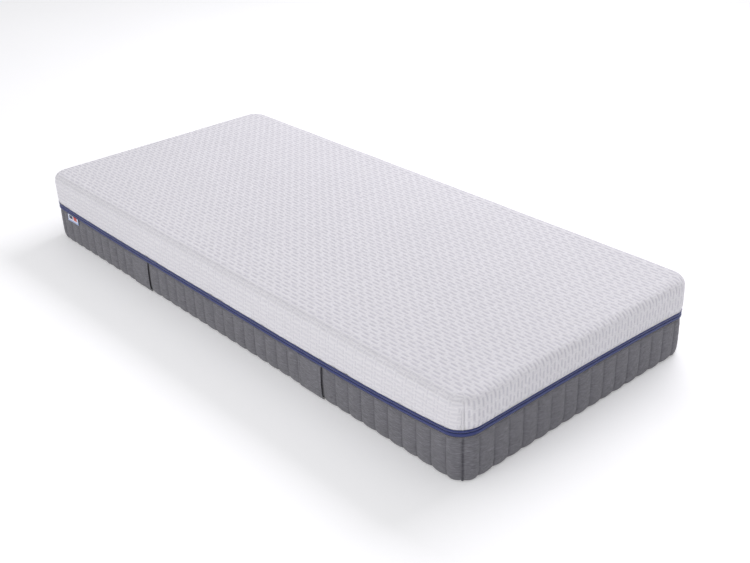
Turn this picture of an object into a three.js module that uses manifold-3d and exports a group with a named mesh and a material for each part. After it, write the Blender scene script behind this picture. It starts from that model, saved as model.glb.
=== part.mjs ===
// A single-bed memory foam mattress with a zip-off cover: three bonded foam layers in a quilted grey
// lower cover, and a white knitted upper cover that a zip all the way round joins to it.
// Millimetres. X runs from the head (-X) to the foot (+X), Y across the bed, +Z up.
// The origin is the middle of the underside.
import * as THREE from "three";
import { mergeVertices } from "three/addons/utils/BufferGeometryUtils.js";
import Module from "manifold-3d";

const wasm = await Module();
wasm.setup();

// ---------------------------------------------------------------- driving dimensions
const LENGTH = 2000; // head to foot, over the upper cover
const WIDTH = 900; // side to side, over the upper cover
const HEIGHT = 240;
const CORNER_RADIUS = 60; // of the four upright corners, seen from above
const ARC_STEPS = 6; // straight facets in each rounded corner

const FIT = 0.3; // gap between pieces that lie against each other
const FOAM_EASE = 1.6; // the foam is cut this much smaller than the cover's lining, all round
const OVERLAP = 0.5; // how far the parts of one solid run into each other

const TOP_EDGE_RADIUS = 34; // rounding of the sleeping surface's edge
const COVER_KNIT = 4; // relief knit of the upper cover
const COVER_LINING = 11; // fibre fleece behind it

const BORDER_HEIGHT = 117; // floor to the lower edge of the zip
const BORDER_SET_BACK = 3; // the channels' crowns, behind the upper cover's side
const TUCK_DEPTH = 8; // the lower cover pulls in this far at the floor
const TUCK_HEIGHT = 36; // and starts pulling in this high up
const TUCK_LEVELS = 4;
const CHANNEL_PITCH = 51; // between the quilting lines of the border
const CHANNEL_CROWN = 4; // how far a channel stands out between its lines
const BORDER_KNIT = 3;
const BORDER_WADDING = 5;
const CORNER_WELT = 2.4; // sewn edge between two border panels
const WELT_SET_BACK = 1; // the welt's face, behind the channels' crowns

const BASE_CLOTH = 3; // fabric under the mattress
const BASE_BINDING = 6; // bound edge round it
const BASE_EASE = 1; // between the binding and the border

const MEMORY_FOAM = 50;
const TRANSITION_FOAM = 30;
const ZONE_CUT_WIDTH = 6; // cross cuts that soften the support foam under shoulders, hips and calves
const ZONE_CUT_DEPTH = 35;
const ZONE_CUT_PITCH = 60;
const ZONE_CUTS = 4; // in each softened zone
const ZONE_CENTRES = [-580, 40, 600]; // shoulders, hips and calves, from the middle of the bed

const TAPE_HEIGHT = 8.2; // visible part of each zip tape
const TAPE_THICKNESS = 2.5;
const TAPE_SET_BACK = 2; // the tapes' face, behind the upper cover's side
const COIL_HEIGHT = 2.6;
const COIL_THICKNESS = 2.6;
const CHAIN_GAP = 1.6; // between the two coils, where the slider's post runs

const SLIDER_LENGTH = 13;
const SLIDER_PLATE = 1.5; // front plate
const SLIDER_BACK = 1.2; // back plate
const SLIDER_FLANGE = 1.3;
const SLIDER_POST_LENGTH = 6;
const SLIDER_POST = 1;
const CROWN_WIDTH = 3; // the loop on the slider that holds the pull
const CROWN_REACH = 3.6; // its height in front of the plate
const CROWN_BAR = 1.4;
const CROWN_SPAN = 10;
const PULL_LENGTH = 30;
const PULL_WIDTH = 9;
const PULL_THICKNESS = 1.2;
const PULL_EYE_LENGTH = 8;
const PULL_EYE_WIDTH = 5;
const PULL_RISE = 0.5; // gap between the slider's plate and the pull lying on it
const SLIDER_PARK = 60; // slider's middle, from the end of the straight stretch
const END_PATCH_LENGTH = 30; // cloth patch over the ends of the zip tapes
const END_PATCH = 1.2;

const HANDLE_FIRST_CHANNEL = 10; // whole channels between a corner seam and a handle
const HANDLE_CHANNELS = 2; // channels that a handle's bay takes the place of
const HANDLE_SIDE_GAP = 5.5; // between the strap and the quilting line each side of its bay
const HANDLE_BAY_DEPTH = 5.5; // the border's flat face behind the strap, below the channels' crowns
const HANDLE_CLOTH = 2.5;
const HANDLE_REACH = 12.5; // how far the strap stands off its bay
const HANDLE_FLATNESS = 4; // higher makes the strap's bow flatter, with steeper ends
const HANDLE_SEWN = 12; // length sewn down at each end
const HANDLE_LEVELS = 8;

const LABEL_WIDTH = 70;
const LABEL_DROP = 25;
const LABEL_THICKNESS = 1.2;
const LABEL_FROM_HEAD = 140; // the label's middle, from the head end
const LABEL_STAND_OFF = 0.5; // in front of the channels' crowns

const SEAM_WIDTH = 2.4; // corner seam of the upper cover
const SEAM_RISE = 1.6;
const SEAM_STOP = 6; // below where the top edge starts to round

// ---------------------------------------------------------------- derived places
const HALF_LENGTH = LENGTH / 2;
const HALF_WIDTH = WIDTH / 2;
const KNIT_BACK = BORDER_SET_BACK + CHANNEL_CROWN + BORDER_KNIT;
const BORDER_DEPTH = KNIT_BACK + FIT + BORDER_WADDING;
const COVER_DEPTH = COVER_KNIT + FIT + COVER_LINING;
const FOAM_INSET = Math.max(BORDER_DEPTH, COVER_DEPTH) + FOAM_EASE;
const ZIP_MIDDLE = BORDER_HEIGHT + TAPE_HEIGHT + CHAIN_GAP / 2;
const COVER_BOTTOM = ZIP_MIDDLE + CHAIN_GAP / 2 + TAPE_HEIGHT + FIT;
const BORDER_TOP = BORDER_HEIGHT - FIT;
const FOAM_BOTTOM = BASE_CLOTH + FIT;
const FOAM_TOP = HEIGHT - COVER_DEPTH - FIT;
const MEMORY_BOTTOM = FOAM_TOP - MEMORY_FOAM;
const TRANSITION_BOTTOM = MEMORY_BOTTOM - FIT - TRANSITION_FOAM;
const SUPPORT_TOP = TRANSITION_BOTTOM - FIT;
const COIL_SET_BACK = TAPE_SET_BACK + TAPE_THICKNESS + FIT;
const SLIDER_X = -(HALF_LENGTH - CORNER_RADIUS) + SLIDER_PARK;

const COLOURS = {
  cover: 0xdedde4,
  lining: 0xf2f1ee,
  seam: 0xe9e8ec,
  navy: 0x1b2350,
  coil: 0x151b3d,
  border: 0x6f6e75,
  wadding: 0xe6e4df,
  welt: 0x54535a,
  base: 0x64636a,
  memory: 0xf3efe2,
  transition: 0xcfdcea,
  support: 0xe8e9ec,
  metal: 0x8d9099,
  label: 0xe4e8f2,
};

// ---------------------------------------------------------------- solids
function solidOf(geometry) {
  const bare = geometry.index ? geometry.toNonIndexed() : geometry.clone();
  bare.deleteAttribute("normal");
  bare.deleteAttribute("uv");
  const merged = mergeVertices(bare, 1e-3);
  return new wasm.Manifold(
    new wasm.Mesh({
      numProp: 3,
      vertProperties: merged.attributes.position.array,
      triVerts: new Uint32Array(merged.index.array),
    }),
  );
}

function geometryOf(solid) {
  const { numProp, numVert, vertProperties, triVerts } = solid.getMesh();
  const points = new Float32Array(numVert * 3);
  for (let i = 0; i < numVert; i++) {
    points.set(vertProperties.subarray(i * numProp, i * numProp + 3), i * 3);
  }
  return new THREE.BufferGeometry()
    .setAttribute("position", new THREE.BufferAttribute(points, 3))
    .setIndex(new THREE.BufferAttribute(triVerts, 1));
}

const cut = (from, ...tools) =>
  geometryOf(tools.reduce((left, tool) => left.subtract(solidOf(tool)), solidOf(from)));
const join = (...pieces) => geometryOf(pieces.map(solidOf).reduce((made, piece) => made.add(piece)));

// A box from its two opposite corners.
function boxBetween(low, high) {
  const size = high.map((value, i) => value - low[i]);
  const middle = high.map((value, i) => (value + low[i]) / 2);
  return new THREE.BoxGeometry(...size).translate(...middle);
}

// The direction that a flat ring faces, its points running anticlockwise.
function facingOf(ring) {
  const facing = new THREE.Vector3();
  ring.forEach((point, i) => facing.add(point.clone().cross(ring[(i + 1) % ring.length])));
  return facing.normalize();
}

// The triangles that fill a flat ring, as numbers of its points.
function fillOf(ring) {
  const facing = facingOf(ring);
  const across = ring[1].clone().sub(ring[0]).projectOnPlane(facing).normalize();
  const up = facing.clone().cross(across);
  const flat = ring.map((point) => new THREE.Vector2(point.dot(across), point.dot(up)));
  return THREE.ShapeUtils.triangulateShape(flat, []);
}

// The closed body through a row of flat rings that all have the same number of points.
function skinOver(rings) {
  const along = rings[1][0].clone().sub(rings[0][0]);
  const backwards = facingOf(rings[0]).dot(along) < 0;
  const turned = backwards ? rings.map((ring) => [...ring].reverse()) : rings;
  const count = turned[0].length;
  const last = (turned.length - 1) * count;
  const triangles = [];
  fillOf(turned[0]).forEach(([a, b, c]) => triangles.push(c, b, a));
  fillOf(turned.at(-1)).forEach(([a, b, c]) => triangles.push(last + a, last + b, last + c));
  for (let ring = 0; ring < last; ring += count) {
    for (let i = 0; i < count; i++) {
      const a = ring + i;
      const b = ring + ((i + 1) % count);
      triangles.push(a, b, b + count, a, b + count, a + count);
    }
  }
  return new THREE.BufferGeometry().setFromPoints(turned.flat()).setIndex(triangles);
}

// ---------------------------------------------------------------- the mattress's outline
// The lower cover is pulled in towards the floor along a quarter of an ellipse, cut into straight facets.
const TUCK_CURVE = Array.from({ length: TUCK_LEVELS + 1 }, (_, i) => {
  const angle = (i / TUCK_LEVELS) * (Math.PI / 2);
  return { z: TUCK_HEIGHT * (1 - Math.cos(angle)), depth: TUCK_DEPTH * (1 - Math.sin(angle)) };
});

// How far the lower cover is pulled in at height z.
function tuck(z) {
  const next = TUCK_CURVE.findIndex((point) => point.z > z);
  if (next < 0) return 0;
  const [low, high] = [TUCK_CURVE[next - 1], TUCK_CURVE[next]];
  return low.depth + ((z - low.z) / (high.z - low.z)) * (high.depth - low.depth);
}

// Heights from low to high, with every facet of the tuck between them.
function tuckLevels(low, high) {
  const between = TUCK_CURVE.map(({ z }) => z).filter((z) => z > low && z < high);
  return [low, ...between, high];
}

// The rounded rectangle seen from above, drawn in by inset, at height z.
function planLoop(inset, z) {
  const radius = CORNER_RADIUS - inset;
  const loop = [];
  const centres = [[1, 1], [-1, 1], [-1, -1], [1, -1]];
  centres.forEach(([signX, signY], quarter) => {
    for (let i = 0; i <= ARC_STEPS; i++) {
      const angle = (quarter + i / ARC_STEPS) * (Math.PI / 2);
      const x = signX * (HALF_LENGTH - CORNER_RADIUS) + radius * Math.cos(angle);
      const y = signY * (HALF_WIDTH - CORNER_RADIUS) + radius * Math.sin(angle);
      loop.push(new THREE.Vector3(x, y, z));
    }
  });
  return loop;
}

// A block that fills the outline drawn in by inset. Its underside follows the tuck.
const tuckedBlock = (inset, low, high) =>
  skinOver(tuckLevels(low, high).map((z) => planLoop(inset + tuck(z), z)));

// A block that fills the outline drawn in by inset, with its top edge rounded.
function roundedBlock(inset, low, high) {
  const radius = TOP_EDGE_RADIUS - inset;
  const rings = [planLoop(inset, low)];
  for (let i = 0; i <= ARC_STEPS; i++) {
    const angle = (i / ARC_STEPS) * (Math.PI / 2);
    rings.push(planLoop(inset + radius * (1 - Math.cos(angle)), high - radius * (1 - Math.sin(angle))));
  }
  return skinOver(rings);
}

// A hoop of the outline, between two insets and two heights.
const hoop = (outer, inner, low, high) =>
  cut(
    skinOver([planLoop(outer, low), planLoop(outer, high)]),
    skinOver([planLoop(inner, low - 1), planLoop(inner, high + 1)]),
  );

// One side of the mattress, from corner seam to corner seam. distance is from the middle of the bed.
function sideOf(run, distance) {
  const straight = 2 * (run - CORNER_RADIUS);
  const whole = straight + (Math.PI / 2) * CORNER_RADIUS;
  const channels = Math.round(whole / CHANNEL_PITCH);
  return { straight, whole, channels, pitch: whole / channels, distance };
}

const LONG_SIDE = sideOf(HALF_LENGTH, HALF_WIDTH);
const SHORT_SIDE = sideOf(HALF_WIDTH, HALF_LENGTH);

// A point of a side that faces -Y, at distance s along it from its middle, drawn in by inset.
// The side stops short of the corner's middle, to leave room for the welt.
function sidePoint(side, s, inset, z) {
  const radius = CORNER_RADIUS - inset;
  const stop = Math.PI / 4 - Math.asin((CORNER_WELT / 2 + FIT) / radius);
  const past = Math.min(stop, Math.max(0, Math.abs(s) - side.straight / 2) / CORNER_RADIUS);
  const x = Math.min(Math.abs(s), side.straight / 2) + radius * Math.sin(past);
  const y = side.distance - CORNER_RADIUS + radius * Math.cos(past);
  return new THREE.Vector3(Math.sign(s) * x, -y, z);
}

// The bays of a long side that the handles cross, as [first, last] quilting lines.
const handleBays = (side) => [
  [HANDLE_FIRST_CHANNEL, HANDLE_FIRST_CHANNEL + HANDLE_CHANNELS],
  [side.channels - HANDLE_FIRST_CHANNEL - HANDLE_CHANNELS, side.channels - HANDLE_FIRST_CHANNEL],
];

// Places along a side, as {s, sunk}: sunk is how far in the face is there.
function quiltStations(side, withHandles) {
  const bays = withHandles ? handleBays(side) : [];
  const stations = [];
  for (let half = 0; half <= 2 * side.channels; half++) {
    const line = half / 2;
    const s = -side.whole / 2 + line * side.pitch;
    const inBay = bays.some(([first, last]) => line >= first && line <= last);
    const sewnDown = half % 2 === 0 ? CHANNEL_CROWN : 0;
    stations.push({ s, sunk: BORDER_SET_BACK + (inBay ? HANDLE_BAY_DEPTH : sewnDown) });
  }
  // The corner's arc starts at a station of its own, so that pieces behind can share the same facets.
  [-side.straight / 2, side.straight / 2].forEach((s) => {
    const next = stations.findIndex((station) => station.s > s + 1);
    const before = stations[next - 1];
    const share = (s - before.s) / (stations[next].s - before.s);
    if (s - before.s > 1) {
      stations.splice(next, 0, { s, sunk: before.sunk + share * (stations[next].sunk - before.sunk) });
    }
  });
  return stations;
}

// An upright slice of a side at one station, from its face to inner, between two heights.
function sideSlice(side, station, inner, low, high) {
  const levels = tuckLevels(low, high);
  const face = levels.map((z) => sidePoint(side, station.s, tuck(z) + station.sunk, z));
  const back = levels.map((z) => sidePoint(side, station.s, tuck(z) + inner, z));
  return [...face, ...back.reverse()];
}

// An upright plate: an outline in [distance out, height], as thick as width, facing -Y.
function uprightPlate(outline, width) {
  const shape = new THREE.Shape(outline.map(([out, z]) => new THREE.Vector2(out, z)));
  const facing = new THREE.Matrix4().makeBasis(
    new THREE.Vector3(0, -1, 0),
    new THREE.Vector3(0, 0, 1),
    new THREE.Vector3(-1, 0, 0),
  );
  return new THREE.ExtrudeGeometry(shape, { depth: width, bevelEnabled: false })
    .applyMatrix4(facing)
    .translate(width / 2, 0, 0);
}

// ---------------------------------------------------------------- assembly
const mattress = new THREE.Group();

function add(name, geometry, color, place = {}) {
  const { roughness = 0.9, metalness = 0, turn = 0, at = [0, 0, 0] } = place;
  geometry.computeVertexNormals();
  const mesh = new THREE.Mesh(geometry, new THREE.MeshStandardMaterial({ color, roughness, metalness }));
  mesh.name = name;
  mesh.rotation.z = turn;
  mesh.position.set(...at);
  mattress.add(mesh);
}

// The four sides, each turned from the side that faces -Y.
const SIDES = [
  { name: "front", side: LONG_SIDE, turn: 0, handles: true },
  { name: "foot", side: SHORT_SIDE, turn: Math.PI / 2, handles: false },
  { name: "back", side: LONG_SIDE, turn: Math.PI, handles: true },
  { name: "head", side: SHORT_SIDE, turn: -Math.PI / 2, handles: false },
];

// The four corners. turn brings -Y to point out of the corner.
const CORNERS = [
  { name: "front_foot", signX: 1, signY: -1, turn: Math.PI / 4 },
  { name: "back_foot", signX: 1, signY: 1, turn: (3 * Math.PI) / 4 },
  { name: "back_head", signX: -1, signY: 1, turn: (-3 * Math.PI) / 4 },
  { name: "front_head", signX: -1, signY: -1, turn: -Math.PI / 4 },
];
const cornerCentre = (corner) => [
  corner.signX * (HALF_LENGTH - CORNER_RADIUS),
  corner.signY * (HALF_WIDTH - CORNER_RADIUS),
  0,
];

function addFoam() {
  const cuts = [];
  for (const centre of ZONE_CENTRES) {
    for (let i = 0; i < ZONE_CUTS; i++) {
      const x = centre + (i - (ZONE_CUTS - 1) / 2) * ZONE_CUT_PITCH;
      const half = ZONE_CUT_WIDTH / 2;
      const low = [x - half, -HALF_WIDTH, SUPPORT_TOP - ZONE_CUT_DEPTH];
      cuts.push(boxBetween(low, [x + half, HALF_WIDTH, SUPPORT_TOP + 1]));
    }
  }
  add("support_foam", cut(tuckedBlock(FOAM_INSET, FOAM_BOTTOM, SUPPORT_TOP), ...cuts), COLOURS.support);
  const transition = [planLoop(FOAM_INSET, TRANSITION_BOTTOM), planLoop(FOAM_INSET, MEMORY_BOTTOM - FIT)];
  add("transition_foam", skinOver(transition), COLOURS.transition);
  add("memory_foam", roundedBlock(FOAM_INSET, MEMORY_BOTTOM, FOAM_TOP), COLOURS.memory);
}

function addUpperCover() {
  const shell = (outer, inner) =>
    cut(
      roundedBlock(outer, COVER_BOTTOM, HEIGHT - outer),
      roundedBlock(inner, COVER_BOTTOM - 1, HEIGHT - inner),
    );
  add("upper_cover", shell(0, COVER_KNIT), COLOURS.cover);
  add("upper_cover_lining", shell(COVER_KNIT + FIT, COVER_DEPTH), COLOURS.lining);

  const face = CORNER_RADIUS + FIT;
  const top = HEIGHT - TOP_EDGE_RADIUS - SEAM_STOP;
  for (const corner of CORNERS) {
    const half = SEAM_WIDTH / 2;
    const rib = boxBetween([-half, -face - SEAM_RISE, COVER_BOTTOM], [half, -face, top]);
    const place = { turn: corner.turn, at: cornerCentre(corner) };
    add(`cover_seam_${corner.name}`, rib, COLOURS.seam, place);
  }
}

function addZip() {
  const tapeBack = TAPE_SET_BACK + TAPE_THICKNESS;
  const lowerEdge = ZIP_MIDDLE - CHAIN_GAP / 2;
  const upperEdge = ZIP_MIDDLE + CHAIN_GAP / 2;
  const coilBack = COIL_SET_BACK + COIL_THICKNESS;
  add("zip_tape_lower", hoop(TAPE_SET_BACK, tapeBack, BORDER_HEIGHT, lowerEdge), COLOURS.navy);
  add("zip_tape_upper", hoop(TAPE_SET_BACK, tapeBack, upperEdge, upperEdge + TAPE_HEIGHT), COLOURS.navy);
  add("zip_coil_lower", hoop(COIL_SET_BACK, coilBack, lowerEdge - COIL_HEIGHT, lowerEdge), COLOURS.coil);
  add("zip_coil_upper", hoop(COIL_SET_BACK, coilBack, upperEdge, upperEdge + COIL_HEIGHT), COLOURS.coil);
}

// The slider and its pull lie on the back of the mattress and are drawn facing -Y, then turned round.
function addSlider() {
  const place = { turn: Math.PI, at: [SLIDER_X, 0, 0], roughness: 0.4, metalness: 0.8 };
  const out = (setBack) => -(HALF_WIDTH - setBack);
  const half = SLIDER_LENGTH / 2;
  const plateFront = TAPE_SET_BACK - FIT - SLIDER_PLATE;
  const backFront = COIL_SET_BACK + COIL_THICKNESS + FIT;
  const reach = CHAIN_GAP / 2 + COIL_HEIGHT + FIT + SLIDER_FLANGE;
  const slab = (x, face, back, low, high) =>
    boxBetween([-x, out(face), ZIP_MIDDLE + low], [x, out(back), ZIP_MIDDLE + high]);
  const post = SLIDER_POST / 2;
  const crownFace = plateFront - CROWN_REACH;
  const crown = cut(
    slab(CROWN_SPAN / 2, crownFace, plateFront + OVERLAP, -CROWN_WIDTH / 2, CROWN_WIDTH / 2),
    slab(CROWN_SPAN / 2 - CROWN_BAR, crownFace + CROWN_BAR, plateFront, -CROWN_WIDTH, CROWN_WIDTH),
  );
  // Only the lower edge has a flange round the coil, so that the upper coil lifts free of the slider.
  const body = join(
    slab(half, plateFront, plateFront + SLIDER_PLATE, -reach, reach),
    slab(half, backFront, backFront + SLIDER_BACK, -reach, reach),
    slab(half, COIL_SET_BACK, backFront + OVERLAP, -reach, SLIDER_FLANGE - reach),
    slab(SLIDER_POST_LENGTH / 2, plateFront + OVERLAP, backFront + OVERLAP, -post, post),
    crown,
  );
  add("zip_slider", body, COLOURS.metal, place);

  const outline = new THREE.Shape();
  const bar = PULL_THICKNESS / 2;
  const wide = PULL_WIDTH / 2;
  outline.moveTo(-bar, -wide).lineTo(PULL_LENGTH - wide, -wide);
  outline.absarc(PULL_LENGTH - wide, 0, wide, -Math.PI / 2, Math.PI / 2, false);
  outline.lineTo(-bar, wide).lineTo(-bar, -wide);
  const eye = PULL_EYE_WIDTH / 2;
  const hole = new THREE.Path().moveTo(bar, -eye).lineTo(PULL_EYE_LENGTH, -eye);
  hole.lineTo(PULL_EYE_LENGTH, eye).lineTo(bar, eye).lineTo(bar, -eye);
  outline.holes.push(hole);
  const pullCut = { depth: PULL_THICKNESS, bevelEnabled: false, curveSegments: 8 };
  const pull = new THREE.ExtrudeGeometry(outline, pullCut);
  pull.rotateX(Math.PI / 2).translate(0, out(plateFront - PULL_RISE), ZIP_MIDDLE);
  add("zip_pull", pull, COLOURS.metal, place);

  const patchStart = half + 1;
  const patch = boxBetween(
    [patchStart, out(TAPE_SET_BACK - FIT - END_PATCH), BORDER_HEIGHT],
    [patchStart + END_PATCH_LENGTH, out(TAPE_SET_BACK - FIT), COVER_BOTTOM - FIT],
  );
  add("zip_end_patch", patch, COLOURS.navy, { turn: Math.PI, at: [SLIDER_X, 0, 0] });
}

function addBorder() {
  for (const { name, side, turn, handles } of SIDES) {
    const stations = quiltStations(side, handles);
    const face = stations.map((station) => sideSlice(side, station, KNIT_BACK, 0, BORDER_TOP));
    add(`border_${name}`, skinOver(face), COLOURS.border, { turn });
    const padding = stations
      .filter(({ s }) => Math.abs(s) > side.straight / 2 - 1)
      .map(({ s }) => sideSlice(side, { s, sunk: KNIT_BACK + FIT }, BORDER_DEPTH, FOAM_BOTTOM, BORDER_TOP));
    add(`border_wadding_${name}`, skinOver(padding), COLOURS.wadding, { turn });
  }

  const levels = tuckLevels(0, BORDER_TOP);
  const out = (inset) => levels.map((z) => [CORNER_RADIUS - inset - tuck(z), z]);
  const section = [...out(BORDER_SET_BACK + WELT_SET_BACK), ...out(KNIT_BACK).reverse()];
  for (const corner of CORNERS) {
    const place = { turn: corner.turn, at: cornerCentre(corner) };
    add(`border_welt_${corner.name}`, uprightPlate(section, CORNER_WELT), COLOURS.welt, place);
  }
}

function addBase() {
  const edge = TUCK_DEPTH + KNIT_BACK + BASE_EASE;
  add("base_binding", hoop(edge, edge + BASE_BINDING, 0, BASE_CLOTH), COLOURS.welt);
  const inside = edge + BASE_BINDING + FIT;
  add("base_cloth", skinOver([planLoop(inside, 0), planLoop(inside, BASE_CLOTH)]), COLOURS.base);
}

// Straps of plain border cloth, sewn into the zip seam above and the base seam below.
function addHandles() {
  const width = HANDLE_CHANNELS * LONG_SIDE.pitch - 2 * HANDLE_SIDE_GAP;
  const free = BORDER_TOP - 2 * HANDLE_SEWN;
  const share = (i) => HANDLE_SEWN + (i / HANDLE_LEVELS) * free;
  const bowed = Array.from({ length: HANDLE_LEVELS + 1 }, (_, i) => share(i));
  const heights = [...tuckLevels(0, BORDER_TOP), ...bowed].sort((a, b) => a - b);
  const bowAt = (z) => {
    const up = Math.min(1, Math.max(0, (z - HANDLE_SEWN) / free));
    return HANDLE_REACH * Math.sin(Math.PI * up) ** (1 / HANDLE_FLATNESS);
  };
  const faceAt = (z) => HALF_WIDTH - tuck(z) - BORDER_SET_BACK - HANDLE_BAY_DEPTH + FIT + bowAt(z);
  const inner = heights.map((z) => [faceAt(z), z]);
  const outer = heights.map((z) => [faceAt(z) + HANDLE_CLOTH, z]);
  const outline = [...inner, ...outer.reverse()];
  for (const [sideName, turn] of [["front", 0], ["back", Math.PI]]) {
    handleBays(LONG_SIDE).forEach(([first, last], i) => {
      const middle = -LONG_SIDE.whole / 2 + ((first + last) / 2) * LONG_SIDE.pitch;
      const strap = uprightPlate(outline, width).translate(middle, 0, 0);
      add(`handle_${sideName}_${i + 1}`, strap, COLOURS.border, { turn });
    });
  }
}

function addLabel() {
  const middle = -HALF_LENGTH + LABEL_FROM_HEAD;
  const face = -(HALF_WIDTH - BORDER_SET_BACK + LABEL_STAND_OFF);
  const label = boxBetween(
    [middle - LABEL_WIDTH / 2, face - LABEL_THICKNESS, BORDER_TOP - LABEL_DROP],
    [middle + LABEL_WIDTH / 2, face, BORDER_TOP],
  );
  add("side_label", label, COLOURS.label);
}

addFoam();
addUpperCover();
addZip();
addSlider();
addBorder();
addBase();
addHandles();
addLabel();

export default mattress;
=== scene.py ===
# The looks of a memory foam mattress: a white relief-knit upper cover zipped to a grey quilted border.
# Metres, in the frame of the CAD part: X from the head (-X) to the foot (+X), Z up from the underside.
import math

import bpy
import numpy as np
from mathutils import Matrix, Vector


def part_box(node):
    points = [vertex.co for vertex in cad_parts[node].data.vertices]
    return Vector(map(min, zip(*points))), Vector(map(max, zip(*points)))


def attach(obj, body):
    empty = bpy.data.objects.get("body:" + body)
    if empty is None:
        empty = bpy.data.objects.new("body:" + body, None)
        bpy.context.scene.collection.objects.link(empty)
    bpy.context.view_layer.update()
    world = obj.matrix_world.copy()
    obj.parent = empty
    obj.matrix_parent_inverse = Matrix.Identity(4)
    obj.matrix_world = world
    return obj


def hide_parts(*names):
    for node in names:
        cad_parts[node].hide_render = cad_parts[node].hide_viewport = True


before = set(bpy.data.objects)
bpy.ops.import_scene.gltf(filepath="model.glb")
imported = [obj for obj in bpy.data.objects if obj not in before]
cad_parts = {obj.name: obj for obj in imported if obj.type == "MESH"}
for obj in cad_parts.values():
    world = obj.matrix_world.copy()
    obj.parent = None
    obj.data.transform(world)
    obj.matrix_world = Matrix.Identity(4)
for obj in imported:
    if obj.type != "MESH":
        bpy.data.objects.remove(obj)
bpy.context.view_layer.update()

# ---------------------------------------------------------------- sizes
CORNER_RADIUS = 0.060
TOP_EDGE_RADIUS = 0.034
TUCK_DEPTH = 0.005
TUCK_HEIGHT = 0.036
CHANNEL_PITCH = 0.051
FIRST_HANDLE_CHANNEL = 10
HANDLE_CHANNELS = 2

BORDER_SET_BACK = 0.003
CHANNEL_CROWN = 0.0056
BAY_DEPTH = 0.0055
BORDER_KNIT_BACK = 0.0098

KNIT_ROW = 0.0132
KNIT_REPEAT = 0.036
KNIT_DASH = 0.025
KNIT_SHIFT = 0.011
KNIT_TILT = 0.1
KNIT_GROOVE_DEPTH = 0.0017
KNIT_GROOVE_WIDTH = 0.0022
KNIT_STEP_DEPTH = 0.0004
KNIT_STEP_WIDTH = 0.06
KNIT_DASH_END = 0.07
KNIT_SIDE_SOFTENING = 0.45  # how much shallower the grooves are down the long sides
KNIT_BELOW_TOP = 0.0016  # the knit's resting height, under the CAD cover's top
COVER_UNDULATION = 0.0013
EDGE_SQUARENESS = 0.78  # 1 rounds the top edge as a quarter circle, and less makes it tighter
COVER_PINCH_DEPTH = 0.0040
COVER_PINCH_WIDTH = 0.0065
COVER_HEM_RISE = 0.0022
COVER_HEM_DRAWN_IN = 0.0026
COVER_SWAY = 0.0012
COVER_CHANNEL_WAVE = 0.0007
SEAM_CLEARANCE = 0.0003

STITCH_LENGTH = 0.0038
STITCH_THICKNESS = 0.0009

COVER_LOW, COVER_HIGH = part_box("upper_cover")
HALF_LENGTH, HALF_WIDTH, HEIGHT = COVER_HIGH
COVER_BOTTOM = COVER_LOW.z
CORNER_X = HALF_LENGTH - CORNER_RADIUS  # where the rounded corners are centred
CORNER_Y = HALF_WIDTH - CORNER_RADIUS
BORDER_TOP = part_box("border_front")[1].z
LOWER_TAPE = [corner.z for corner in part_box("zip_tape_lower")]
UPPER_TAPE = [corner.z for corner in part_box("zip_tape_upper")]
ZIP_MIDDLE = (LOWER_TAPE[1] + UPPER_TAPE[0]) / 2

CORNER_LIFT = 0.018  # the zip line rises at the near corner of the front and foot sides
FRONT_SAG = 0.0115  # and hangs lower in the middle of the front
WAVE_FROM = 0.75  # share of the half width or length past which a point counts as on that side


def side_of(name, half_run, distance, turn, handles):
    """One side of the mattress, from corner seam to corner seam, as it is when it faces -Y."""
    straight = 2 * (half_run - CORNER_RADIUS)
    whole = straight + math.pi / 2 * CORNER_RADIUS
    channels = round(whole / CHANNEL_PITCH)
    return {
        "name": name, "straight": straight, "whole": whole, "channels": channels,
        "pitch": whole / channels, "distance": distance, "turn": turn, "handles": handles,
    }


SIDES = [
    side_of("front", HALF_LENGTH, HALF_WIDTH, 0, True),
    side_of("foot", HALF_WIDTH, HALF_LENGTH, math.pi / 2, False),
    side_of("back", HALF_LENGTH, HALF_WIDTH, math.pi, True),
    side_of("head", HALF_WIDTH, HALF_LENGTH, -math.pi / 2, False),
]
LONG_SIDE = SIDES[0]
CORNERS = [
    ("front_foot", 1, -1, math.pi / 4),
    ("back_foot", 1, 1, 3 * math.pi / 4),
    ("back_head", -1, 1, -3 * math.pi / 4),
    ("front_head", -1, -1, -math.pi / 4),
]


# ---------------------------------------------------------------- making pieces
def mesh_of(name, points, faces):
    """A mesh from an array of points and an array of faces that all have the same number of corners."""
    points = np.asarray(points, np.float32).reshape(-1, 3)
    faces = np.asarray(faces, np.int32)
    mesh = bpy.data.meshes.new(name)
    mesh.vertices.add(len(points))
    mesh.vertices.foreach_set("co", points.ravel())
    mesh.loops.add(faces.size)
    mesh.loops.foreach_set("vertex_index", faces.ravel())
    mesh.polygons.add(len(faces))
    mesh.polygons.foreach_set("loop_start", np.arange(0, faces.size, faces.shape[1], dtype=np.int32))
    mesh.update(calc_edges=True)
    mesh.validate()
    mesh.polygons.foreach_set("use_smooth", [True] * len(mesh.polygons))
    return mesh


def piece(name, shape, material, nodes=(), body="mattress_body", settle=True):
    """Puts a mesh, or (points, faces), into the scene as a piece on a body that stands for CAD nodes."""
    mesh = shape if isinstance(shape, bpy.types.Mesh) else mesh_of(name, *shape)
    if settle:
        points = np.empty(len(mesh.vertices) * 3, np.float32)
        mesh.vertices.foreach_get("co", points)
        mesh.vertices.foreach_set("co", settled(points.reshape(-1, 3)).astype(np.float32).ravel())
        mesh.update()
    made = bpy.data.objects.new(name, mesh)
    bpy.context.scene.collection.objects.link(made)
    made.data.materials.clear()
    made.data.materials.append(MATERIALS[material])
    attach(made, body)
    if nodes:
        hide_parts(*nodes)
    return made


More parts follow.
